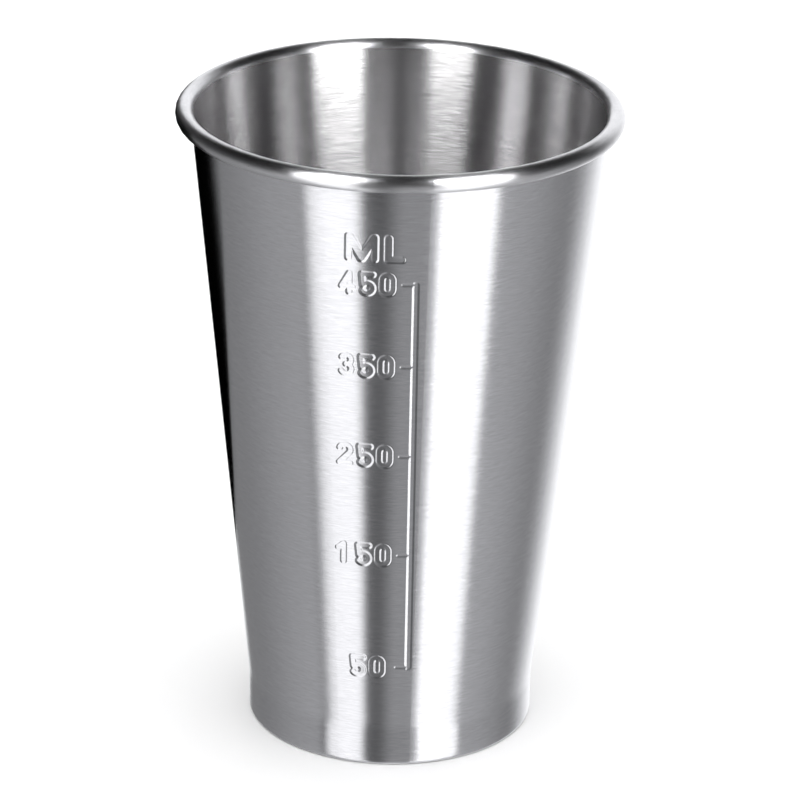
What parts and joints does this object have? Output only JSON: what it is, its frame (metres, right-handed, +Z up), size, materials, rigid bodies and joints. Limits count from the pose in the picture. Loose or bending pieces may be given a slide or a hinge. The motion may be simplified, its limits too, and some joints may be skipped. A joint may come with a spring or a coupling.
{
  "type": "graduated measuring cup",
  "caption": "Tapered sheet-metal measuring cup with a curled rim, a short upright foot, a raised base pan and a millilitre scale pressed into its wall.",
  "frame": {"origin": "centre of the ring that the cup stands on", "axes": "+Z up along the cup's axis to the mouth; -Y towards the pressed-in scale, which is read from there; +X to the reader's right"},
  "size_m": [0.096, 0.096, 0.1415],
  "materials": {
    "body_steel": "brushed round the axis",
    "pan_steel": "satin, turned"
  },
  "bodies": {
    "root": {"cup_body": "body_steel", "base_pan": "pan_steel"}
  },
  "joints": []
}
